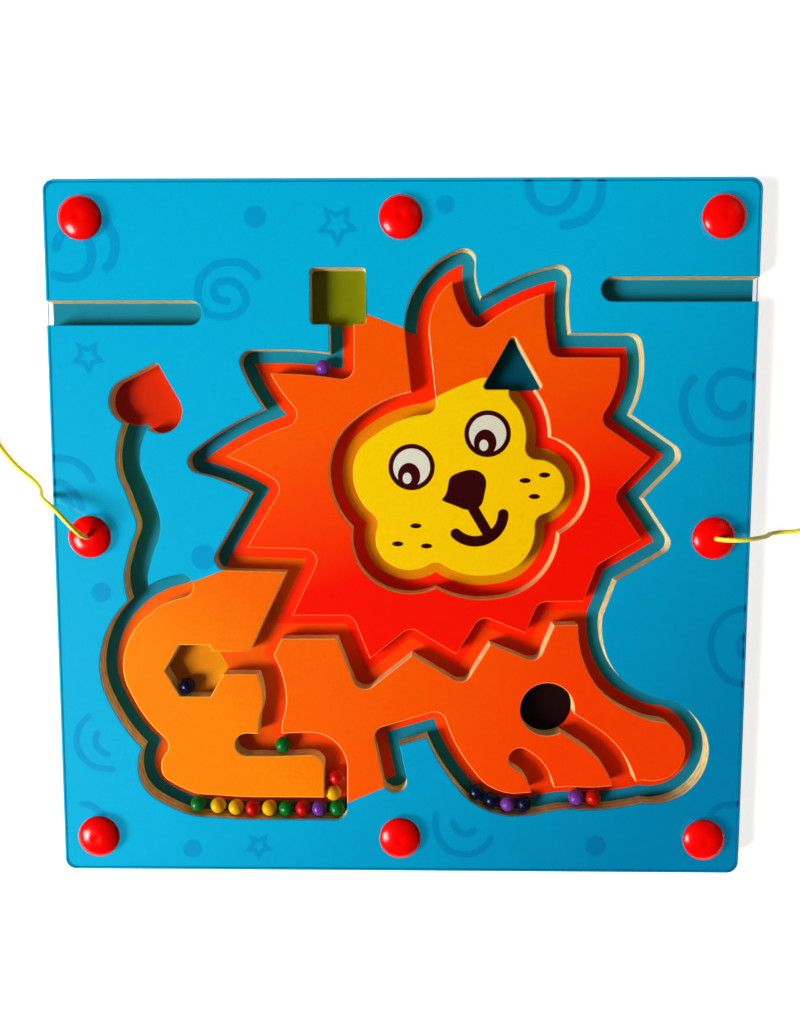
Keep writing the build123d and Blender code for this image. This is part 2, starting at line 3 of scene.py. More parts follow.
import bmesh
import bpy
import numpy as np
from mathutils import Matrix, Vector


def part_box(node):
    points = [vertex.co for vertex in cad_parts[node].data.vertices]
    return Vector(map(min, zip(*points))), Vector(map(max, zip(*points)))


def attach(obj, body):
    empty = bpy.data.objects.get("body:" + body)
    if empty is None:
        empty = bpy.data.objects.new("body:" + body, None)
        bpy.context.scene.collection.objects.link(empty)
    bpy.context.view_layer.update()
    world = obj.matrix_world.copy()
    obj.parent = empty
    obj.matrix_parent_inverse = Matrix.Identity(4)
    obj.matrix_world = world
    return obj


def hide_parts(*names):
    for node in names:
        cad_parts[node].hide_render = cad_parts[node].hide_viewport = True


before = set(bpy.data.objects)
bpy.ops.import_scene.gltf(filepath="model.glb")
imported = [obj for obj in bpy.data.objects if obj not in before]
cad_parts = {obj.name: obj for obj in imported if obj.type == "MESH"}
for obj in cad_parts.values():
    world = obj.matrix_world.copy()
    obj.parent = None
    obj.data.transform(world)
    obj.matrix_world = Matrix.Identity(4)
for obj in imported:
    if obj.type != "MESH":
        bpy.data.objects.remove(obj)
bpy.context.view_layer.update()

# Lengths are in metres. A number of millimetres is multiplied by MM, or stands in a list or goes
# into a function whose words say that it holds or takes millimetres
MM = 0.001
UP, EAST = (0, 0, 1), (1, 0, 0)

# The photograph's camera: 800 x 1030 pixels, the board seen from a little above its middle. The
# sensor's width is in millimetres, as Blender takes it
PHOTO_WIDTH = 800
FOCAL_PIXELS = 800
SENSOR = 36
BOARD_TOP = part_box("panel_print_field")[1][2]
CAMERA_PLACE = (3.5 * MM, 37.9 * MM, BOARD_TOP + 342.7 * MM)
CAMERA_TURN = (radians(-4.75), radians(0.63), radians(0.05))

# Points nearer to each other than this become one
WELD = 0.0005 * MM

# Kinds of nodes that several materials have
PRINCIPLED, OUTPUT = "ShaderNodeBsdfPrincipled", "ShaderNodeOutputMaterial"
DIFFUSE, TRANSPARENT = "ShaderNodeBsdfDiffuse", "ShaderNodeBsdfTransparent"
EITHER, LIGHT_PATH = "ShaderNodeMixShader", "ShaderNodeLightPath"
NOISE, BUMP, MAPPING = "ShaderNodeTexNoise", "ShaderNodeBump", "ShaderNodeMapping"
MIX, RANGE = "ShaderNodeMix", "ShaderNodeMapRange"
MATH, VECTOR = "ShaderNodeMath", "ShaderNodeVectorMath"
# A colour mix's sockets by number: its share, its two colours and its result
SHARE, FIRST, SECOND, MIXED = 0, 6, 7, 2


def linear(colour):
    """The linear RGBA of an sRGB hex colour."""
    parts = np.array([int(colour[i:i + 2], 16) for i in (1, 3, 5)]) / 255
    return (*np.where(parts <= 0.04045, parts / 12.92, ((parts + 0.055) / 1.055) ** 2.4), 1)


def add(tree, kind, inputs=None, **settings):
    """A node with its settings. Its inputs go by name, or by number where names repeat, and each
    is given a value, a socket, or a node for that node's first output."""
    made = tree.nodes.new(kind)
    for name, value in settings.items():
        setattr(made, name, value)
    for name, value in (inputs or {}).items():
        if isinstance(value, bpy.types.Node):
            value = value.outputs[0]
        if isinstance(value, bpy.types.NodeSocket):
            tree.links.new(value, made.inputs[name])
        else:
            made.inputs[name].default_value = value
    return made


def new_material(name):
    """An empty node material: its tree and the socket of its Object coordinates."""
    material = bpy.data.materials.new(name)
    material.use_nodes = True
    tree = material.node_tree
    tree.nodes.clear()
    return material, tree, add(tree, "ShaderNodeTexCoord").outputs["Object"]


def printed_film(name, near, far, start, end, blotch=0.10):
    """UV-cured ink on a primed wood face: an even, slightly satin colour that runs from one hue to
    another between two places, in millimetres, with faint blotches where the wood took more ink,
    a fine mottle and a primer tooth."""
    material, tree, place = new_material(name)
    start, end = np.array([*start, 0]) * MM, np.array([*end, 0]) * MM
    run = end - start
    offset = add(tree, VECTOR, {0: place, 1: tuple(start)}, operation="SUBTRACT")
    along = add(tree, VECTOR, {0: offset, 1: tuple(run / run.dot(run))}, operation="DOT_PRODUCT")
    # Ink blotches about 25 mm across
    clouds = add(tree, NOISE, {"Vector": place, "Scale": 1 / (25 * MM), "Detail": 3.0})
    shift = add(tree, RANGE, {"Value": clouds, "To Min": -blotch, "To Max": blotch})
    share = add(tree, MATH, {0: along.outputs["Value"], 1: shift}, operation="ADD", use_clamp=True)
    colours = {SHARE: share, FIRST: linear(near), SECOND: linear(far)}
    hue = add(tree, MIX, colours, data_type="RGBA").outputs[MIXED]
    # Mottle of the ink, drawn at 0.9 mm so that it shows
    spots = add(tree, NOISE, {"Vector": place, "Scale": 1 / (0.9 * MM), "Detail": 4.0})
    mottle = add(
        tree, RANGE,
        {"Value": spots, "From Min": 0.3, "From Max": 0.7, "To Min": 0.93, "To Max": 1.07},
    )
    colour = add(tree, VECTOR, {0: hue, "Scale": mottle}, operation="SCALE")
    # Primer tooth, drawn at 0.4 mm so that it shows
    tooth = add(tree, NOISE, {"Vector": place, "Scale": 1 / (0.4 * MM)})
    relief = add(tree, BUMP, {"Height": tooth, "Strength": 0.08, "Distance": 0.1 * MM})
    shader = add(
        tree, PRINCIPLED,
        {
            "Base Color": colour, "Roughness": 0.42, "IOR": 1.5, "Specular IOR Level": 0.04,
            "Normal": relief,
        },
    )
    add(tree, OUTPUT, {"Surface": shader})
    return material


def birch_plywood(name, plies, pale, dark):
    """Birch plywood, routed and lightly sanded: pale veneers, every second one darker with its end
    grain, and fine brown fibre streaks along the cut."""
    material, tree, place = new_material(name)
    low, high = (corner[2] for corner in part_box("maze_panel"))
    height = add(tree, "ShaderNodeSeparateXYZ", {0: place}).outputs["Z"]
    level = add(tree, RANGE, {"Value": height, "From Min": low, "From Max": high, "To Max": plies})
    ply = add(tree, MATH, {0: level, 1: 2.0}, operation="FLOORED_MODULO")
    end_grain = add(tree, MATH, {0: ply, 1: 1.0}, operation="GREATER_THAN")
    # Fibres 0.5 mm high and 4 mm long
    stretch = add(
        tree, MAPPING, {"Vector": place, "Scale": (1 / (4 * MM), 1 / (4 * MM), 1 / (0.5 * MM))}
    )
    fibre = add(tree, NOISE, {"Vector": stretch, "Scale": 1.0, "Detail": 6.0})
    depth = add(tree, RANGE, {"Value": fibre, "From Min": 0.35, "From Max": 0.75})
    veneer = {SHARE: depth, FIRST: linear(pale), SECOND: linear(dark)}
    pores = add(tree, MIX, veneer, data_type="RGBA").outputs[MIXED]
    darker = {SHARE: 0.3, FIRST: pores, SECOND: linear(dark)}
    ends = add(tree, MIX, darker, data_type="RGBA", blend_type="MULTIPLY").outputs[MIXED]
    layers = {SHARE: end_grain, FIRST: pores, SECOND: ends}
    colour = add(tree, MIX, layers, data_type="RGBA").outputs[MIXED]
    relief = add(tree, BUMP, {"Height": fibre, "Strength": 0.3, "Distance": 0.15 * MM})
    shader = add(
        tree, PRINCIPLED,
        {
            "Base Color": colour, "Roughness": 0.7, "IOR": 1.5, "Specular IOR Level": 0.2,
            "Normal": relief,
        },
    )
    add(tree, OUTPUT, {"Surface": shader})
    return material


def hardboard(name):
    """Pressed hardboard: brown felted fibres a few millimetres long, smooth and slightly waxy."""
    material, tree, place = new_material(name)
    felt = add(
        tree, NOISE, {"Vector": place, "Scale": 1 / (2 * MM), "Detail": 8.0, "Distortion": 1.5}
    )
    fibres = {SHARE: felt, FIRST: linear("#C79A62"), SECOND: linear("#8A6136")}
    colour = add(tree, MIX, fibres, data_type="RGBA").outputs[MIXED]
    relief = add(tree, BUMP, {"Height": felt, "Strength": 0.2, "Distance": 0.1 * MM})
    shader = add(
        tree, PRINCIPLED,
        {"Base Color": colour, "Roughness": 0.55, "IOR": 1.5, "Normal": relief},
    )
    add(tree, OUTPUT, {"Surface": shader})
    return material


def clear_acrylic(name):
    """Extruded clear acrylic sheet: colourless, polished, with hairline rub marks in its gloss.
    Light from the lamps and between the pieces shines straight through it."""
    material, tree, place = new_material(name)
    # Rub marks 0.3 mm wide and 12 mm long
    rubs = add(
        tree, MAPPING,
        {
            "Vector": place, "Rotation": (0, 0, radians(24)),
            "Scale": (1 / (12 * MM), 1 / (0.3 * MM), 1),
        },
    )
    wear = add(tree, NOISE, {"Vector": rubs, "Scale": 1.0})
    haze = add(
        tree, RANGE,
        {"Value": wear, "From Min": 0.55, "From Max": 0.8, "To Min": 0.02, "To Max": 0.09},
    )
    glass = add(
        tree, PRINCIPLED,
        {
            "Base Color": linear("#FFFFFF"), "Roughness": haze, "IOR": 1.49,
            "Transmission Weight": 1.0,
        },
    )
    straight = add(tree, TRANSPARENT, {"Color": linear("#FBFCFC")})
    path = add(tree, LIGHT_PATH).outputs
    ray = add(
        tree, MATH, {0: path["Is Shadow Ray"], 1: path["Is Diffuse Ray"]}, operation="MAXIMUM"
    )
    add(tree, OUTPUT, {"Surface": add(tree, EITHER, {0: ray, 1: glass, 2: straight})})
    return material


def moulded_abs(name, colour, deep, open_shade):
    """Injection-moulded ABS: bright glossy red, with the faint waviness of a cooled surface. It
    lets a share of the shadow rays through, so that the shade it casts is as faint as the
    photograph's."""
    material, tree, place = new_material(name)
    wave = add(tree, NOISE, {"Vector": place, "Scale": 1 / (3 * MM)})
    colours = {SHARE: wave, FIRST: linear(colour), SECOND: linear(deep)}
    hue = add(tree, MIX, colours, data_type="RGBA").outputs[MIXED]
    relief = add(tree, BUMP, {"Height": wave, "Strength": 0.12, "Distance": 0.1 * MM})
    plastic = add(
        tree, PRINCIPLED,
        {
            "Base Color": hue, "Roughness": 0.2, "IOR": 1.54, "Specular IOR Level": 0.2,
            "Normal": relief,
        },
    )
    straight = add(tree, TRANSPARENT, {"Color": linear("#FFFFFF")})
    path = add(tree, LIGHT_PATH).outputs
    share = add(tree, MATH, {0: path["Is Shadow Ray"], 1: open_shade}, operation="MULTIPLY")
    add(tree, OUTPUT, {"Surface": add(tree, EITHER, {0: share, 1: plastic, 2: straight})})
    return material


def lacquered_steel(name, colour):
    """A steel ball under coloured stove lacquer: a deep colour, a clear gloss and small chips."""
    material, tree, place = new_material(name)
    mottle = add(tree, NOISE, {"Vector": place, "Scale": 1 / (1.5 * MM), "Detail": 3.0})
    chip = add(tree, RANGE, {"Value": mottle, "From Min": 0.76, "From Max": 0.80})
    colours = {SHARE: chip, FIRST: linear(colour), SECOND: linear("#8C8F93")}
    hue = add(tree, MIX, colours, data_type="RGBA").outputs[MIXED]
    rough = add(tree, RANGE, {"Value": mottle, "To Min": 0.2, "To Max": 0.36})
    shader = add(
        tree, PRINCIPLED,
        {
            "Base Color": hue, "Roughness": rough, "Specular IOR Level": 0.12,
            "Coat Weight": 0.15, "Coat Roughness": 0.06,
        },
    )
    add(tree, OUTPUT, {"Surface": shader})
    return material


def nickel_plate(name):
    """Nickel plate on a magnet: a bright metal, its gloss broken by fine satin patches."""
    material, tree, place = new_material(name)
    marks = add(tree, NOISE, {"Vector": place, "Scale": 1 / (0.3 * MM), "Detail": 3.0})
    rough = add(tree, RANGE, {"Value": marks, "To Min": 0.15, "To Max": 0.35})
    shader = add(
        tree, PRINCIPLED, {"Base Color": linear("#C9CBCC"), "Metallic": 1.0, "Roughness": rough}
    )
    add(tree, OUTPUT, {"Surface": shader})
    return material


def polyester_cord(name):
    """Braided polyester: bright yellow yarns, painted darker between the strands as shade, with a
    soft sheen.
    """
    material, tree, place = new_material(name)
    # The braid's height: low between the strands, where the colour is darkened as painted shade
    depth = add(tree, "ShaderNodeAttribute", attribute_name="strand").outputs["Fac"]
    colours = {SHARE: depth, FIRST: linear("#F4DC00"), SECOND: linear("#FFFA20")}
    hue = add(tree, MIX, colours, data_type="RGBA").outputs[MIXED]
    # Yarn filaments, drawn at 0.15 mm
    yarn = add(tree, NOISE, {"Vector": place, "Scale": 1 / (0.15 * MM)})
    relief = add(tree, BUMP, {"Height": yarn, "Strength": 0.25, "Distance": 0.05 * MM})
    shader = add(
        tree, PRINCIPLED,
        {"Base Color": hue, "Roughness": 0.6, "Sheen Weight": 0.3, "Normal": relief},
    )
    add(tree, OUTPUT, {"Surface": shader})
    return material


# Where the hues of the picture's wide zones start and end their run, in millimetres
FIELD_RUN = (-5, 4), (132, -104)
MANE_RUN = (-19, 54), (3, -10)
FACE_RUN = (-10, 40), (60, -10)
HAUNCH_RUN = (-95, -62), (-60, -30)

# Inks of the picture, on the panel's face and on the maze's floor
inks = {
    "field": printed_film("cyan ink", "#00B1DC", "#0084B2", *FIELD_RUN),
    "mane": printed_film("orange to red ink", "#FF5600", "#FF1000", *MANE_RUN),
    "face": printed_film("yellow ink", "#FFD000", "#FFC600", *FACE_RUN, blotch=0.2),
    "haunch": printed_film("amber ink", "#FF8400", "#FF6600", *HAUNCH_RUN),
    "body": printed_film("orange ink", "#FF6200", "#FF3E00", (-40, -60), (70, -90)),
}
# Painted shade: the floor's inks are the zones' inks made darker, most of all the field's cyan and
# the face's yellow, for the shade that falls in the channels
floor_inks_painted_shade = {
    "field": printed_film("cyan ink, maze floor", "#18829A", "#126E88", *FIELD_RUN),
    "mane": printed_film("red ink, maze floor", "#FF4000", "#FF1E00", (-70, 60), (-5, 15)),
    "face": printed_film("yellow ink, maze floor", "#E07C00", "#D08400", *FACE_RUN),
    "haunch": printed_film("amber ink, maze floor", "#EC6000", "#E04400", (-110, -20), (-40, -110)),
    "body": printed_film("orange ink, maze floor", "#F44000", "#E83000", (-20, -60), (90, -100)),
    # Pocket floors, painted darker as shade: the square's, hexagon's, triangle's and heart's inks
    # run from darker at the wall that shades them to lighter across the pocket, the hexagon's
    # yellow is painted as ochre and the circle's violet almost black
    "square": printed_film("lime ink", "#6C7404", "#7C8004", (-38, 113), (-15, 90)),
    "hexagon": printed_film("yellow ink, hexagon floor, painted shade", "#CC6C00", "#E08A0C", (-103, -60), (-77, -60)),
    "circle": printed_film("violet ink, circle floor, painted shade", "#1C0608", "#160406", (50, -76), (76, -76)),
    "triangle": printed_film("navy ink", "#003850", "#004458", (35, 86), (60, 63)),
    "heart": printed_film("scarlet ink", "#CC2000", "#D42A00", (-122, 60), (-95, 60)),
}
dark_ink = printed_film("maroon-black ink", "#3A0405", "#2C0203", (0, 30), (40, 0), blotch=0.05)
white_ink = printed_film("off-white ink", "#E6DFCB", "#DCD4BC", (0, 40), (40, 20))
swirl_ink = printed_film("deep cyan ink", "#009CD0", "#0074A6", *FIELD_RUN)
# A darker cyan for the line round the picture: painted shade of the cover sheet's edge
cover_edge_shade_ink = printed_film("cyan ink, painted cover-edge shade", "#0078A0", "#006890", *FIELD_RUN)
# Broken arrises: paler on mane, haunch and body, where the ink lies thin over the primer, with a
# painted highlight added, and a little darker on field and face, painted shade
edge_inks_painted_light = {
    "field": printed_film("cyan ink, broken edge", "#0098C2", "#007AA4", *FIELD_RUN),
    "mane": printed_film("orange to red ink, broken edge", "#FF8440", "#FF5C2C", *MANE_RUN),
    "face": printed_film("yellow ink, broken edge", "#F2BE14", "#E8B00C", *FACE_RUN),
    "haunch": printed_film("amber ink, broken edge", "#FFB23C", "#FF9C34", *HAUNCH_RUN),
    "body": printed_film("orange ink, broken edge", "#FFA050", "#FF8040", (-40, -60), (60, -90)),
}
plywood = birch_plywood("birch plywood", plies=5, pale="#FFE8AC", dark="#C0903C")
board_back = hardboard("hardboard")
cover_sheet = clear_acrylic("clear acrylic sheet")
red_abs = moulded_abs("red moulded ABS", colour="#F80300", deep="#E80200", open_shade=0.75)
plating = nickel_plate("nickel plate")
yellow_cord = polyester_cord("yellow braided polyester")
ball_hues = {
    "green": "#006A22", "yellow": "#E8A800", "red": "#C40600", "purple": "#6E2E8E",
    "blue": "#040A2A",
}
ball_lacquers = {
    colour: lacquered_steel(f"{colour} lacquered steel", hue) for colour, hue in ball_hues.items()
}


def dress(node, material):
    """Gives a CAD node's object its material."""
    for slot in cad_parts[node].material_slots:
        slot.link = "OBJECT"
        slot.material = material


for zone, ink in floor_inks_painted_shade.items():
    dress(f"floor_print_{zone}", ink)
dress("face_marks", dark_ink)
dress("eye_whites", white_ink)
dress("maze_panel", plywood)
dress("base_board", board_back)
dress("clear_cover", cover_sheet)
dress("rivet_sockets", red_abs)
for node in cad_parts:
    if node.endswith("magnet"):
        dress(node, plating)
    elif node.startswith("pen"):
        dress(node, red_abs)
    elif node.endswith("knot"):
        dress(node, yellow_cord)


def new_piece(name, points, faces, materials):
    """A piece with its place in its mesh, its doubled points merged and its loose ones gone."""
    mesh = bpy.data.meshes.new(name)
    mesh.from_pydata(points, [], faces)
    shell = bmesh.new()
    shell.from_mesh(mesh)
    bmesh.ops.remove_doubles(shell, verts=shell.verts, dist=WELD)
    loose = [spot for spot in shell.verts if not spot.link_faces]
    bmesh.ops.delete(shell, geom=loose, context="VERTS")
    shell.to_mesh(mesh)
    shell.free()
    for material in materials:
        mesh.materials.append(material)
    piece = bpy.data.objects.new(name, mesh)
    bpy.context.scene.collection.objects.link(piece)
    return piece


def grid_faces(rows, columns, around=False, along=False):
    """Four-sided faces over a grid of points. around joins the last column to the first, and
    along the last row to the first. A face turns from its columns' direction to its rows'."""
    index = np.arange(rows * columns).reshape(rows, columns)
    if around:
        index = np.hstack([index, index[:, :1]])
    if along:
        index = np.vstack([index, index[:1]])
    corners = [index[:-1, :-1], index[:-1, 1:], index[1:, 1:], index[1:, :-1]]
    return np.stack(corners, -1).reshape(-1, 4)


def smooth_piece(name, points, material, around=False, along=False, crease=None):
    """A smoothly shaded piece over a grid of points. Edges sharper than crease, in degrees, stay
    crisp."""
    piece = new_piece(
        name, points.reshape(-1, 3), grid_faces(*points.shape[:2], around, along), [material]
    )
    piece.data.polygons.foreach_set("use_smooth", np.ones(len(piece.data.polygons), dtype=bool))
    if crease:
        piece.data.set_sharp_from_angle(angle=radians(crease))
    return piece


def softened(corners, radii, steps=5):
    """A profile whose corners are rounded: each corner p becomes the curve
    (1 - t)^2 a + 2 t (1 - t) p + t^2 b, where a and b lie on its two sides, a radius away."""
    corners = np.array(corners, dtype=float)
    sides = np.diff(corners, axis=0)
    lengths = np.linalg.norm(sides, axis=1)
    sides /= lengths[:, None]
    # Just under half a side, so that its two bends never meet
    room = np.minimum(lengths[:-1], lengths[1:]) * 0.49
    reach = np.minimum(np.array(radii, dtype=float), room)[:, None]
    bent = corners[1:-1, None]
    before = bent - (sides[:-1] * reach)[:, None]
    after = bent + (sides[1:] * reach)[:, None]
    t = np.linspace(0, 1, steps)[None, :, None]
    bends = (1 - t) ** 2 * before + 2 * t * (1 - t) * bent + t**2 * after
    return np.vstack([corners[:1], bends.reshape(-1, 2), corners[-1:]])


def turned(name, profile, foot, along, across, material, columns=72, closed=False, crease=40):
    """A turned piece: the profile's points (s, r), in millimetres, go to foot + s along +
    r (cos a across + sin a over), with the angle a all the way round and over square to the
    other two."""
    profile = np.array(profile) * MM
    along, across = np.array(along, dtype=float), np.array(across, dtype=float)
    over = np.cross(along, across)
    angle = np.arange(columns) * 2 * np.pi / columns
    spoke = np.cos(angle)[:, None] * across + np.sin(angle)[:, None] * over
    points = np.array(foot) + profile[:, None, :1] * along + profile[:, None, 1:] * spoke
    return smooth_piece(name, points, material, around=True, along=closed, crease=crease)


def middle_of(node):
    """The middle of a CAD node's box."""
    low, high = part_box(node)
    return (np.array(low) + np.array(high)) / 2


# Rivet caps stand on the cover's top face. Their sizes are in millimetres, and the dome's fullness
# is the exponent in its formula
COVER_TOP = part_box("clear_cover")[1][2]
CAP_RADIUS = 9.1
CAP_RIM = 1.1
CAP_CROWN = 3.3
CAP_FULLNESS = 0.72
DIMPLE_DEPTH = 0.45
DIMPLE_RADIUS = 2.2
PIN_RADIUS = 2
CORD_BORE = 1.1
# How far the corners are rounded at the pin's end, under the cap and below its rim
PIN_END_BEND, PIN_ROOT_BEND, RIM_BEND = 0.3, 0.2, 0.45
CAP_COLUMNS = 96
DOME_ROWS = 40


def rivet_cap(node, bored):
    """A moulded rivet cap on its pin. The dome's height at a radius r is
    rim + crown (1 - (r / cap radius)^2)^fullness, less a soft dimple of
    depth exp(-(r / dimple radius)^2)."""
    low = (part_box(node)[0][2] - COVER_TOP) / MM
    start = CORD_BORE if bored else 0
    stem = softened(
        [(low, start), (low, PIN_RADIUS), (0, PIN_RADIUS), (0, CAP_RADIUS), (CAP_RIM, CAP_RADIUS)],
        [PIN_END_BEND, PIN_ROOT_BEND, RIM_BEND],
    )
    spread = np.sin(np.linspace(np.pi / 2, 0, DOME_ROWS))
    radius = start + (CAP_RADIUS - start) * spread
    height = CAP_RIM + CAP_CROWN * np.maximum(1 - (radius / CAP_RADIUS) ** 2, 0) ** CAP_FULLNESS
    height -= DIMPLE_DEPTH * np.exp(-((radius / DIMPLE_RADIUS) ** 2))
    profile = np.vstack([stem, np.column_stack([height, radius])[1:]])
    x, y, _ = middle_of(node)
    piece = turned(
        f"domed_{node}", profile, (x, y, COVER_TOP), UP, EAST, red_abs, CAP_COLUMNS, closed=bored
    )
    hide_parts(node)
    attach(piece, "board")


def steel_ball(node, columns=48):
    """A lacquered ball: a half circle turned about the upright, its faces as high as wide."""
    low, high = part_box(node)
    radius = (high[0] - low[0]) / 2 / MM
    angle = np.linspace(0, np.pi, columns // 2 + 1)
    profile = np.column_stack([-radius * np.cos(angle), radius * np.sin(angle)])
    colour = node.split("_")[1]
    piece = turned(
        f"lacquered_{node}", profile, middle_of(node), UP, EAST, ball_lacquers[colour], columns,
        crease=None,
    )
    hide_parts(node)
    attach(piece, node)


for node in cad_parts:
    if node.startswith("rivet_cap"):
        rivet_cap(node, bored=node.endswith(("middle_left", "middle_right")))
    elif node.startswith("ball"):
        steel_ball(node)


# Decimals in which two points of a CAD mesh agree when they are one, and the depth below the top
# within which a point counts as lying in the top face
SAME_DECIMALS = 7
TOP_SLACK = 0.01 * MM


def rim_of(node):
    """The welded triangles of a flat CAD node and the rim of its top face: points, triangles, a
    mask of the points at the top, and each rim edge's two ends and outward direction."""
    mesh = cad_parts[node].data
    places = np.empty(len(mesh.vertices) * 3)
    mesh.vertices.foreach_get("co", places)
    corners = np.empty(len(mesh.polygons) * 3, dtype=np.int32)
    mesh.polygons.foreach_get("vertices", corners)
    rounded = places.reshape(-1, 3).round(SAME_DECIMALS)
    points, index = np.unique(rounded, axis=0, return_inverse=True)
    triangles = index.ravel()[corners].reshape(-1, 3)
    top = points[:, 2] > points[:, 2].max() - TOP_SLACK
    at_top = top[triangles]
    sides = np.flatnonzero(at_top.sum(1) == 2)
    # Turned so that the corner below comes last
    below = np.argmin(at_top[sides], axis=1)
    order = (below[:, None] + np.array([1, 2, 0])) % 3
    turned_sides = np.take_along_axis(triangles[sides], order, axis=1)
    first, last, foot = (points[turned_sides[:, k]] for k in range(3))
    outward = np.cross(last - first, foot - first)[:, :2]
    outward /= np.linalg.norm(outward, axis=1)[:, None]
    return points, triangles, top, turned_sides[:, :2], outward


def inside(spots, edges):
    """Which spots lie inside an outline, by the parity of the edges that a line to the east of
    each spot crosses."""
    start, end = edges[:, 0], edges[:, 1]
    found = np.zeros(len(spots), dtype=bool)
    # About 2000 spots at a time, which keeps the arrays of spots by edges small
    for part in np.array_split(np.arange(len(spots)), max(1, len(spots) // 2000)):
        x, y = spots[part, 0, None], spots[part, 1, None]
        spans = (start[:, 1] > y) != (end[:, 1] > y)
        rise = np.where(end[:, 1] == start[:, 1], 1, end[:, 1] - start[:, 1])
        crossing = start[:, 0] + (y - start[:, 1]) * (end[:, 0] - start[:, 0]) / rise
        found[part] = np.sum(spans & (crossing > x), axis=1) % 2 == 1
    return found


print_nodes = [f"panel_print_{zone}" for zone in inks]
rims = {node: rim_of(node) for node in [*print_nodes, "face_marks", "eye_whites"]}
outlines = {node: rim[0][rim[3]][:, :, :2] for node, rim in rims.items()}


# Broken arrises: their width, how far beyond an edge its neighbour is looked for, the sine of the
# least turn that is mitred, and the furthest that a mitre reaches as a multiple of the width
ARRIS = 0.4 * MM
PROBE = 0.05 * MM
LEAST_TURN = 0.15
MITRE_LIMIT = 1.8
# The upward parts of the normals between which a face belongs to the broken edge
EDGE_STEEPEST, EDGE_FLATTEST = 0.2, 0.99
TINY = 1e-9


def arris_moves(node):
    """How a panel print's points move so that its arris is broken where it borders a channel or
    the board's side. A rim point moves by d, with d . n = -w for the outward directions n of both
    its edges, where w is the arris on a free edge and nothing where another print adjoins."""
    points, _, top, rim, outward = rims[node]
    spots = points[rim].mean(axis=1)[:, :2] + outward * PROBE
    neighbours = np.concatenate([edges for other, edges in outlines.items() if other != node])
    width = np.where(inside(spots, neighbours), 0, ARRIS)
    direction = np.zeros((2, len(points), 2))
    share = np.zeros((2, len(points)))
    for end in (0, 1):
        direction[end, rim[:, end]] = outward
        share[end, rim[:, end]] = width
    (ax, ay), (bx, by) = direction[0].T, direction[1].T
    turn = ax * by - ay * bx
    bent = np.abs(turn) > LEAST_TURN
    safe = np.where(bent, turn, 1)
    mitre = np.column_stack([
        (share[1] * ay - share[0] * by) / safe, (share[0] * bx - share[1] * ax) / safe,
    ])
    mean = direction.sum(axis=0)
    mean /= np.maximum(np.linalg.norm(mean, axis=1), TINY)[:, None]
    move = np.where(bent[:, None], mitre, -mean * share.max(axis=0)[:, None])
    reach = np.linalg.norm(move, axis=1)
    move *= np.minimum(1, MITRE_LIMIT * ARRIS / np.maximum(reach, TINY))[:, None]
    return np.where(top[:, None], move, 0)


def broken_print(zone):
    """A zone of the panel's print with its arris broken, and the new rim of its face."""
    node = f"panel_print_{zone}"
    points, triangles, _, rim, _ = rims[node]
    moved = points.copy()
    moved[:, :2] += arris_moves(node)
    piece = new_piece(
        node.replace("panel", "top"), moved, triangles, [inks[zone], edge_inks_painted_light[zone]]
    )
    normals = np.empty(len(piece.data.polygons) * 3)
    piece.data.polygons.foreach_get("normal", normals)
    slope = normals.reshape(-1, 3)[:, 2]
    # The arris's sloped faces take the edge inks, with their painted highlight and shade
    on_edge = (slope > EDGE_STEEPEST) & (slope < EDGE_FLATTEST)
    piece.data.polygons.foreach_set("material_index", on_edge.astype(int))
    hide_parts(node)
    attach(piece, "board")
    return moved[rim][:, :, :2]


face_rims = {zone: broken_print(zone) for zone in inks}


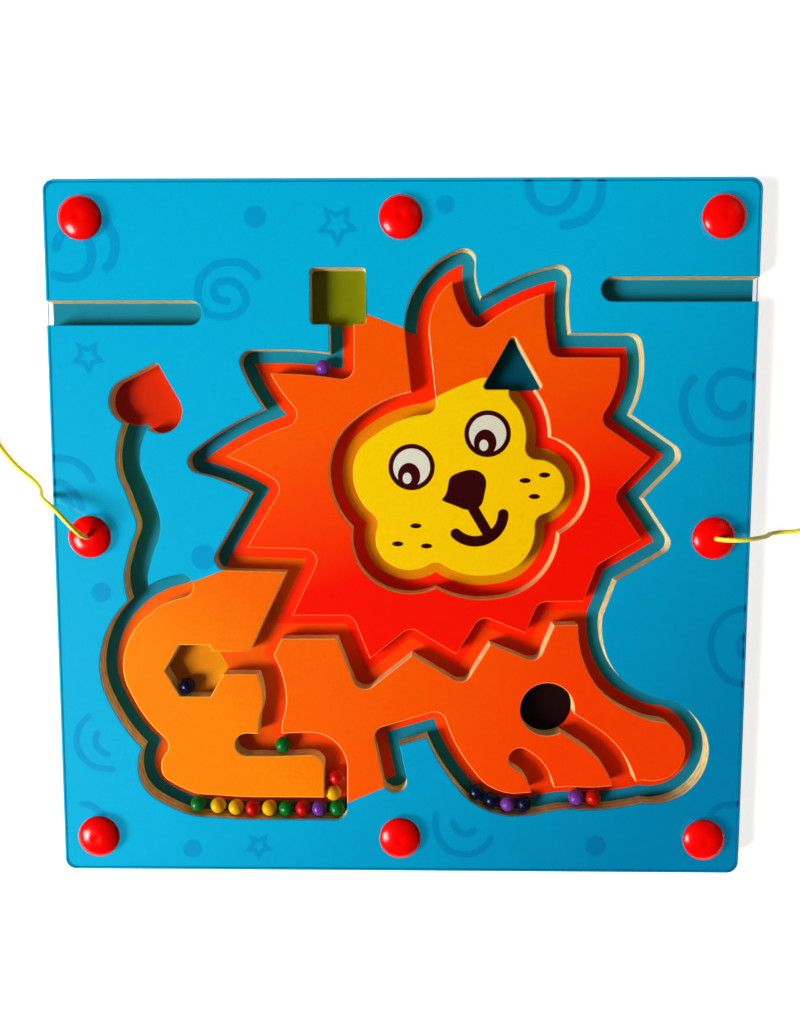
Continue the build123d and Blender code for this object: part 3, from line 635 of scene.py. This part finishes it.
# Ornaments printed on the field: bands by their middle lines and widths, all in millimetres
bands = [
    (3.3, [
        (-59, 108.5), (-62, 112), (-66, 115), (-72, 115.7), (-79, 114), (-84, 109), (-85.5, 103),
        (-84, 97), (-80, 94), (-76, 93.2), (-70, 94), (-65.5, 98), (-65.5, 102), (-68, 106),
        (-72, 108), (-77, 107), (-78.8, 104), (-77.5, 101), (-74, 99.5), (-72, 101),
    ]),
    (3.8, [
        (-144.5, 120), (-144.2, 124), (-141.5, 127.8), (-137, 129.2), (-133, 127.3), (-130.4, 123),
        (-129.9, 118), (-131.5, 112.8), (-136, 109.8), (-141, 109.2), (-147.5, 111),
    ]),
    (4, [(-125, 112), (-121.5, 116), (-120, 121), (-120.2, 126), (-122.5, 131), (-125.5, 134.5)]),
    (3.8, [
        (53, 149.5), (53, 147), (54.5, 141), (58, 137.5), (62.5, 136.2), (67, 137.5), (71, 141.5),
        (72.5, 147), (72.5, 149.5),
    ]),
    (4, [
        (83.2, 149.5), (83, 147), (82.5, 141), (80, 136), (75.5, 132.5), (70, 130.8), (65.5, 130.5),
    ]),
    (3.8, [
        (124.6, 68.5), (120.7, 64), (119.5, 57), (121, 50.5), (125, 44.4), (131.3, 41.3),
        (137.4, 40.8), (142.6, 41.3), (149.5, 43.5),
    ]),
    (3.8, [
        (149, 67.5), (146.2, 68.5), (140.5, 70.3), (135.4, 69.5), (131.8, 66.4), (130.3, 61.8),
        (131.3, 56.7), (135.4, 52.4), (140.5, 51.8), (144.1, 54.2), (144.4, 58.3),
    ]),
    (3.3, [(-149.5, 33.5), (-147, 33.5), (-142, 33), (-137, 30.5), (-133.5, 26.5), (-132, 23)]),
    (3.3, [(-149.5, 23.5), (-146, 23), (-142, 20.5), (-138.5, 16), (-137, 11)]),
    (3.3, [(-146.5, 17), (-143, 15), (-141, 11.5)]),
    (2.8, [
        (-136, -79), (-140.5, -83), (-142.8, -89), (-142.3, -95), (-139, -100), (-134, -103),
        (-126, -103.8),
    ]),
    (2.8, [(-133, -86), (-134.5, -89.5), (-134, -93), (-131.5, -96), (-128, -97.5)]),
    (3, [(-143, -119.5), (-138.5, -120), (-134.5, -122.5), (-131, -125.5)]),
    (3, [
        (16, -122), (15.5, -128), (17, -134), (20.5, -139), (26, -141.5), (32, -141.5), (38, -138),
        (40.5, -133),
    ]),
    (3, [(23, -126), (25, -130.5), (28.5, -132.5), (32, -131.5), (33.5, -129.5)]),
    (3, [
        (149.5, -30.5), (146, -31), (140, -34), (135.5, -40), (134.5, -48), (136.5, -55),
        (141, -61), (146, -63.5), (149.5, -64.5),
    ]),
    (3, [(149, -42), (146.5, -47), (149, -53)]),
    (3, [(149.5, -118), (147, -118), (141, -119), (136, -123)]),
]
# Dots and stars by their middles and radii, in millimetres
dots = [
    (-60.8, 134.2, 4.6), (-130, -24.5, 4.3), (-92.5, -140, 4.3), (86.5, -137.5, 4.6),
    (-85, -9, 5.5), (18.5, 139, 3.8),
]
stars = [(-132.7, 76.5, 8), (-26.5, 131, 9.6), (-63, -138.5, 7)]
# Stars: their tips and notches together, their lean, their stroke in millimetres, and how far
# from the middle their notches and their sides lie, as shares of their tips' radius
STAR_CORNERS = 10
STAR_LEAN = radians(-16)
STAR_STROKE = 2
STAR_NOTCH = 0.5
STAR_SIDE = 0.47
# Ornaments: the step of their grids, the steps from knot to knot, round a dot, along a star's
# side and across its stroke, and their film's lift over the field's face
FINE = 0.4 * MM
KNOT_STEPS = 24
DOT_STEPS = 48
SIDE_STEPS = 8
STROKE_STEPS = 5
PRINT_LIFT = 0.03 * MM


def spaced(line, step):
    """A line's points read again at even distances along it, and those distances."""
    run = np.append(0, np.cumsum(np.linalg.norm(np.diff(line, axis=0), axis=1)))
    spots = np.linspace(0, run[-1], int(run[-1] / step))
    return np.column_stack([np.interp(spots, run, column) for column in line.T]), spots


def band(width, knots):
    """A band along the Catmull-Rom curve through its knots, with half-round ends: at a distance s
    from an end the half width is h sqrt(1 - (1 - s / h)^2) within one half width h of it. Gives a
    grid of points and whether its rows close to a ring, as the other shapes do."""
    knots = np.array(knots) * MM
    padded = np.vstack([2 * knots[0] - knots[1], knots, 2 * knots[-1] - knots[-2]])
    a, b, c, d = (padded[k:len(padded) - 3 + k, None] for k in range(4))
    t = np.linspace(0, 1, KNOT_STEPS, endpoint=False)[None, :, None]
    curve = 0.5 * (
        2 * b + (c - a) * t + (2 * a - 5 * b + 4 * c - d) * t**2 + (3 * b - a - 3 * c + d) * t**3
    )
    line, spots = spaced(np.vstack([curve.reshape(-1, 2), knots[-1:]]), FINE)
    heading = np.gradient(line, axis=0)
    heading /= np.linalg.norm(heading, axis=1)[:, None]
    half = width * MM / 2
    from_end = np.minimum(np.minimum(spots, spots[-1] - spots) / half, 1)
    reach = half * np.sqrt(1 - (1 - from_end) ** 2)
    across = np.linspace(1, -1, int(2 * half / FINE) + 2)
    left = np.column_stack([-heading[:, 1], heading[:, 0]])
    return line[:, None] + reach[:, None, None] * across[None, :, None] * left[:, None], False


def dot(x, y, radius):
    """A disc: circles of rising radius about its middle."""
    rings = np.linspace(0, radius, int(radius * MM / FINE) + 1)[:, None]
    angle = np.linspace(2 * np.pi, 0, DOT_STEPS, endpoint=False)[None]
    points = np.stack([x + rings * np.cos(angle), y + rings * np.sin(angle)], axis=-1)
    return points * MM, True


def star(x, y, radius):
    """A five-pointed outline: tips and notches a tenth of a turn apart, with straight sides
    between them, carried inwards by the stroke."""
    corner = np.arange(STAR_CORNERS + 1)
    angle = STAR_LEAN - corner * 2 * np.pi / STAR_CORNERS
    reach = np.where(corner % 2 == 0, 1, STAR_NOTCH)
    share = np.arange(STAR_CORNERS * SIDE_STEPS) / SIDE_STEPS
    ring = np.column_stack([
        np.interp(share, corner, reach * np.cos(angle)),
        np.interp(share, corner, reach * np.sin(angle)),
    ])
    inner = 1 - STAR_STROKE / (radius * STAR_SIDE)
    scale = radius * np.linspace(inner, 1, STROKE_STEPS + 1)
    points = np.array([x, y]) + scale[:, None, None] * ring[None]
    return points * MM, True


def square_ring(reach, bend, width):
    """A line round the board, in millimetres: a square with soft corners, carried inwards by the
    line's width."""
    corners = [(-reach, -reach), (reach, -reach), (reach, reach), (-reach, reach)]
    loop = softened([(-reach, 0), *corners, (-reach, 0)], [bend] * 4, steps=9)
    loop, _ = spaced(loop, FINE / MM)
    scale = np.array([1, 1 - width / reach])
    return scale[:, None, None] * loop[None, :-1] * MM, True


def printed_on_field(name, shapes, ink):
    """Shapes as one printed film just above the field's face, cut off at its rim."""
    points, faces, count = [], [], 0
    for grid, around in shapes:
        points.append(grid.reshape(-1, 2))
        faces.append(grid_faces(*grid.shape[:2], around) + count)
        count += len(points[-1])
    points, faces = np.vstack(points), np.vstack(faces)
    on_field = inside(points, face_rims["field"])
    faces = faces[on_field[faces].all(axis=1)]
    level = np.full(len(points), BOARD_TOP + PRINT_LIFT)
    piece = new_piece(name, np.column_stack([points, level]), faces, [ink])
    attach(piece, "board")


swirls = [band(width, knots) for width, knots in bands]
spots = [dot(*place) for place in dots] + [star(*place) for place in stars]
printed_on_field("field_ornaments", swirls + spots, swirl_ink)
# A dark line painted round the picture just inside the cover sheet's edge: painted shade where
# that edge shades the print and bends the light
printed_on_field("field_painted_shade_line", [square_ring(reach=148.7, bend=5, width=0.5)], cover_edge_shade_ink)


def route_line(name, points):
    """Points read from the NURBS line that the route's points steer, in metres."""
    curve = bpy.data.curves.new(name, "CURVE")
    curve.dimensions = "3D"
    curve.resolution_u = 10
    spline = curve.splines.new("NURBS")
    spline.points.add(len(points) - 1)
    spline.points.foreach_set("co", np.column_stack([points, np.ones(len(points))]).ravel())
    spline.order_u = 3
    spline.use_endpoint_u = True
    holder = bpy.data.objects.new(name, curve)
    bpy.context.scene.collection.objects.link(holder)
    bpy.context.view_layer.update()
    line = bpy.data.meshes.new_from_object(holder)
    places = np.empty(len(line.vertices) * 3)
    line.vertices.foreach_get("co", places)
    bpy.data.objects.remove(holder)
    return places.reshape(-1, 3)


# Cords, in millimetres: their radius, the height of their middle line on the table, and where it
# starts in the cap's bore
CORD_RADIUS = 1
CORD_LEVEL = 1.05
CORD_START = COVER_TOP / MM + 0.5
# The coil's outer radius, the step between its turns, its lead beyond the route's end, its
# straight run to the pen, and the pen's well and middle height
COIL_RADIUS = 12.5
COIL_STEP = 2.5
COIL_LEAD = 2
COIL_RUN_OUT = 9
PEN_WELL = 4
PEN_LEVEL = 3.5
POINTS_PER_HALF_TURN = 12
# The routes' points count from their rivet, as the CAD routes' do
cord_routes = {
    "left": [
        (0, 0, CORD_START), (0, 0, 20.8), (-3.2, 4.4, 24.4), (-7.8, 9.6, 24.4), (-12.8, 13.4, 21.6),
        (-17.8, 15.8, 17.8), (-22.1, 17.5, 11.6), (-24.7, 19.6, 4.9), (-29, 23, CORD_LEVEL),
        (-37.6, 29.9, CORD_LEVEL), (-45, 39.3, CORD_LEVEL), (-49.6, 49.3, CORD_LEVEL),
        (-51.7, 59.1, CORD_LEVEL), (-51.7, 67, CORD_LEVEL),
    ],
    "right": [
        (0, 0, CORD_START), (0, 0, 20.8), (4.5, 0.1, 24.8), (10.6, 0.3, 24), (16, 0.5, 20.4),
        (20.4, 0.6, 16.6), (24.6, 0.7, 11.2), (28, 0.8, 4.9), (33.5, 1, CORD_LEVEL),
        (42, 1.3, CORD_LEVEL), (50.5, 4.3, CORD_LEVEL), (57.7, 9.7, CORD_LEVEL),
        (62.9, 17.1, CORD_LEVEL), (65.5, 25.2, CORD_LEVEL), (65.5, 33.2, CORD_LEVEL),
    ],
}
# The number of a route's point that lies on the table, well past the board's edge
ON_TABLE = 9


def coil_turns(start, side):
    """Points of a coil's half turns: each turns about the middle of its two crossings of the
    coil's x axis, with half their distance as its radius, and its level runs evenly from one
    crossing to the next."""
    middle = np.array(start) + np.array([side * COIL_RADIUS, COIL_LEAD, 0])
    crossings = [
        COIL_RADIUS, -COIL_RADIUS, COIL_RADIUS - COIL_STEP, COIL_STEP - COIL_RADIUS, COIL_RADIUS,
        -COIL_RADIUS, COIL_RADIUS + COIL_STEP,
    ]
    levels = [CORD_LEVEL] * 3 + [PEN_LEVEL] * 4
    share = np.arange(POINTS_PER_HALF_TURN) / POINTS_PER_HALF_TURN
    turns = []
    for index, (first, last) in enumerate(zip(crossings, crossings[1:])):
        across = (first + last) / 2 + (first - last) / 2 * np.cos(np.pi * share)
        swell = abs(first - last) / 2 * np.sin(np.pi * share) * (1 if index % 2 == 0 else -1)
        climb = (levels[index + 1] - levels[index]) * (across - first) / (last - first)
        turns.append(np.column_stack([
            middle[0] - side * across, middle[1] + swell, levels[index] + climb,
        ]))
    end = np.array([middle[0] - side * crossings[-1], middle[1], PEN_LEVEL])
    stops = (0, COIL_RUN_OUT / 2, COIL_RUN_OUT, COIL_RUN_OUT + PEN_WELL)
    return np.vstack([*turns, *(end + np.array([0, y, 0]) for y in stops)])


# The braid: its pitch, the share of the radius that it dips by, the tube's step and columns, the
# length after which its frame starts to turn, and over which it turns, and the shortest step that
# is not a repeated point
BRAID_PITCH = 2.4 * MM
BRAID_DIP = 0.07
TUBE_STEP = 0.3 * MM
TUBE_COLUMNS = 24
FRAME_TURN = 25 * MM
LEAST_STEP = 1e-7


def braided_tube(name, line, upright):
    """A braided tube along a line. Its radius swells by cos(4a) + cos(2 pi s / pitch), where a is
    the angle round the tube and s the length along it, which raises a diamond for each strand.
    The tube's frame is turned from the direction upright at the start to the vertical."""
    steps = np.linalg.norm(np.diff(line, axis=0), axis=1)
    path, spots = spaced(line[np.append(True, steps > LEAST_STEP)], TUBE_STEP)
    heading = np.gradient(path, axis=0)
    heading /= np.linalg.norm(heading, axis=1)[:, None]
    lean = np.clip((spots - FRAME_TURN) / FRAME_TURN, 0, 1)[:, None]
    up = np.array(upright) * (1 - lean) + np.array(UP) * lean
    side = np.cross(heading, up)
    side /= np.linalg.norm(side, axis=1)[:, None]
    over = np.cross(side, heading)
    angle = np.arange(TUBE_COLUMNS) * 2 * np.pi / TUBE_COLUMNS
    swell = np.cos(4 * angle)[None] + np.cos(2 * np.pi * spots / BRAID_PITCH)[:, None]
    strand = swell / 4 + 0.5
    radius = CORD_RADIUS * MM * (1 - BRAID_DIP + BRAID_DIP * strand)
    points = path[:, None] + radius[..., None] * (
        np.cos(angle)[None, :, None] * side[:, None] + np.sin(angle)[None, :, None] * over[:, None]
    )
    piece = smooth_piece(name, points, yellow_cord, around=True)
    # The braid's height, which the cord's material reads to paint shade between the strands
    depth = piece.data.attributes.new("strand", "FLOAT", "POINT")
    depth.data.foreach_set("value", strand.ravel())
    return piece, path, spots[-1]


for name, offsets in cord_routes.items():
    side = -1 if name == "left" else 1
    rivet = middle_of(f"rivet_cap_middle_{name}") / MM
    points = np.array(offsets) + np.array([rivet[0], rivet[1], 0])
    control = np.vstack([points, coil_turns(points[-1], side)]) * MM
    line = route_line(f"cord_route_{name}", control)
    across = points[ON_TABLE] - points[0]
    upright = np.cross(UP, across / np.linalg.norm(across[:2]))
    piece, path, length = braided_tube(f"braided_cord_{name}", line, upright)
    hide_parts(f"cord_{name}", f"cord_{name}_coil")
    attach(piece, "board")


def seen_directly(tree):
    """The socket of a share that is 1 for what the camera sees, straight, mirrored or through the
    cover, and 0 for light that has met a matt face."""
    path = add(tree, LIGHT_PATH).outputs
    mirrored = add(
        tree, MATH, {0: path["Is Glossy Ray"], 1: path["Is Transmission Ray"]}, operation="MAXIMUM"
    )
    first = add(tree, MATH, {0: path["Diffuse Depth"], 1: 0.5}, operation="LESS_THAN")
    clean = add(tree, MATH, {0: mirrored, 1: first}, operation="MULTIPLY")
    return add(tree, MATH, {0: path["Is Camera Ray"], 1: clean}, operation="MAXIMUM").outputs[0]


# The studio: the floor's side and glow, the brightness of the room and of the backdrop, and the
# ceiling's side and height. The glow and the backdrop are only for what the camera sees
FLOOR_SIDE = 2.4
FLOOR_GLOW = 0.75
ROOM_LIGHT = 0.08
BACKDROP_LIGHT = 1.0
CEILING_SIDE = 60
CEILING_HEIGHT = 2.6

bpy.ops.mesh.primitive_plane_add(size=FLOOR_SIDE, location=(0, 0, 0))
ground = bpy.context.object
ground.name = "studio_floor"
material, tree, _ = new_material("matt white studio floor")
paint = add(tree, DIFFUSE, {"Color": linear("#F4F4F4")})
glow = add(tree, "ShaderNodeEmission", {"Color": linear("#FFFFFF"), "Strength": FLOOR_GLOW})
lit = add(tree, "ShaderNodeAddShader", {0: paint, 1: glow})
choice = add(tree, EITHER, {0: seen_directly(tree), 1: paint, 2: lit})
add(tree, OUTPUT, {"Surface": choice})
ground.data.materials.append(material)

world = bpy.data.worlds.new("studio")
bpy.context.scene.world = world
world.use_nodes = True
tree = world.node_tree
tree.nodes.clear()
white = linear("#FFFFFF")
room = add(tree, "ShaderNodeBackground", {"Color": white, "Strength": ROOM_LIGHT})
backdrop = add(tree, "ShaderNodeBackground", {"Color": white, "Strength": BACKDROP_LIGHT})
choice = add(tree, EITHER, {0: seen_directly(tree), 1: room, 2: backdrop})
add(tree, "ShaderNodeOutputWorld", {"Surface": choice})

# A dark ceiling, which only reflections see: it keeps the cover clear to look through
bpy.ops.mesh.primitive_plane_add(size=CEILING_SIDE, location=(0, 0, CEILING_HEIGHT))
ceiling = bpy.context.object
ceiling.name = "dark_ceiling"
material, tree, _ = new_material("black card")
add(tree, OUTPUT, {"Surface": add(tree, DIFFUSE, {"Color": linear("#202020")})})
ceiling.data.materials.append(material)
ceiling.visible_camera = False
ceiling.visible_diffuse = False
ceiling.visible_shadow = False


def softbox(name, place, size, power):
    """A square area lamp at a place, turned to face the board's middle."""
    lamp = bpy.data.lights.new(name, "AREA")
    lamp.shape = "SQUARE"
    lamp.size = size
    lamp.energy = power
    holder = bpy.data.objects.new(name, lamp)
    bpy.context.scene.collection.objects.link(holder)
    holder.location = place
    x, y, z = place
    holder.rotation_euler = np.arctan2(np.hypot(x, y), z), 0, np.arctan2(x, -y)


softbox("key", place=(-2.3, -0.9, 1.9), size=1.1, power=160)
softbox("fill", place=(2.0, 1.5, 1.6), size=1.2, power=1.6)

camera_data = bpy.data.cameras.new("photo_camera")
camera_data.sensor_fit = "HORIZONTAL"
camera_data.sensor_width = SENSOR
camera_data.lens = SENSOR * FOCAL_PIXELS / PHOTO_WIDTH
camera = bpy.data.objects.new("photo_camera", camera_data)
bpy.context.scene.collection.objects.link(camera)
camera.location = CAMERA_PLACE
camera.rotation_euler = CAMERA_TURN
bpy.context.scene.camera = camera
bpy.context.scene.view_settings.view_transform = "Standard"
